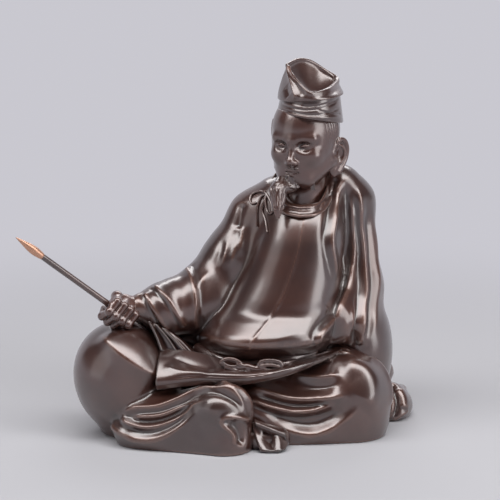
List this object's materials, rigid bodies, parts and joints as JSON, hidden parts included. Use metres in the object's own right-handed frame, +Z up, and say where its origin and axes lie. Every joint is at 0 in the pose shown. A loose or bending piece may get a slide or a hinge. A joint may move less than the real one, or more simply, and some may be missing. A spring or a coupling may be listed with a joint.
{
  "type": "bronze figurine",
  "caption": "Bronze figurine of a scholar in court robes, seated cross-legged, holding a writing brush that draws out of the closed hand.",
  "frame": {"origin": "on the surface that the figure sits on, under the seat", "axes": "+Z up; -Y towards the side that the figure faces; +X towards the figure's left hand"},
  "size_m": [0.2451, 0.1373, 0.229],
  "materials": {
    "bronze": "dark brown patina, waxed, worn to a reddish copper on the edges",
    "handle": "dark brown patina",
    "tuft": "bare copper, brushed"
  },
  "bodies": {
    "figure": {"beard": "bronze", "collar": "bronze", "collar_cord": "bronze", "hat": "bronze", "hat_band": "bronze", "head": "bronze", "inner_sleeve_1": "bronze", "inner_sleeve_2": "bronze", "inner_sleeve_3": "bronze", "lap_flap": "bronze", "left_leg": "bronze", "left_sleeve": "bronze", "right_hand": "bronze", "right_shin": "bronze", "right_sleeve": "bronze", "right_thigh": "bronze", "robe": "bronze", "robe_train": "bronze", "sash": "bronze", "sash_knot": "bronze", "turned_hem": "bronze"},
    "brush": {"brush_handle": "handle", "brush_tuft": "tuft"}
  },
  "joints": [
    {"name": "brush_slide", "type": "slide", "parent": "figure", "child": "brush", "axis": [-0.7453, -0.23, 0.6257], "range_m": [0, 0.045]}
  ]
}
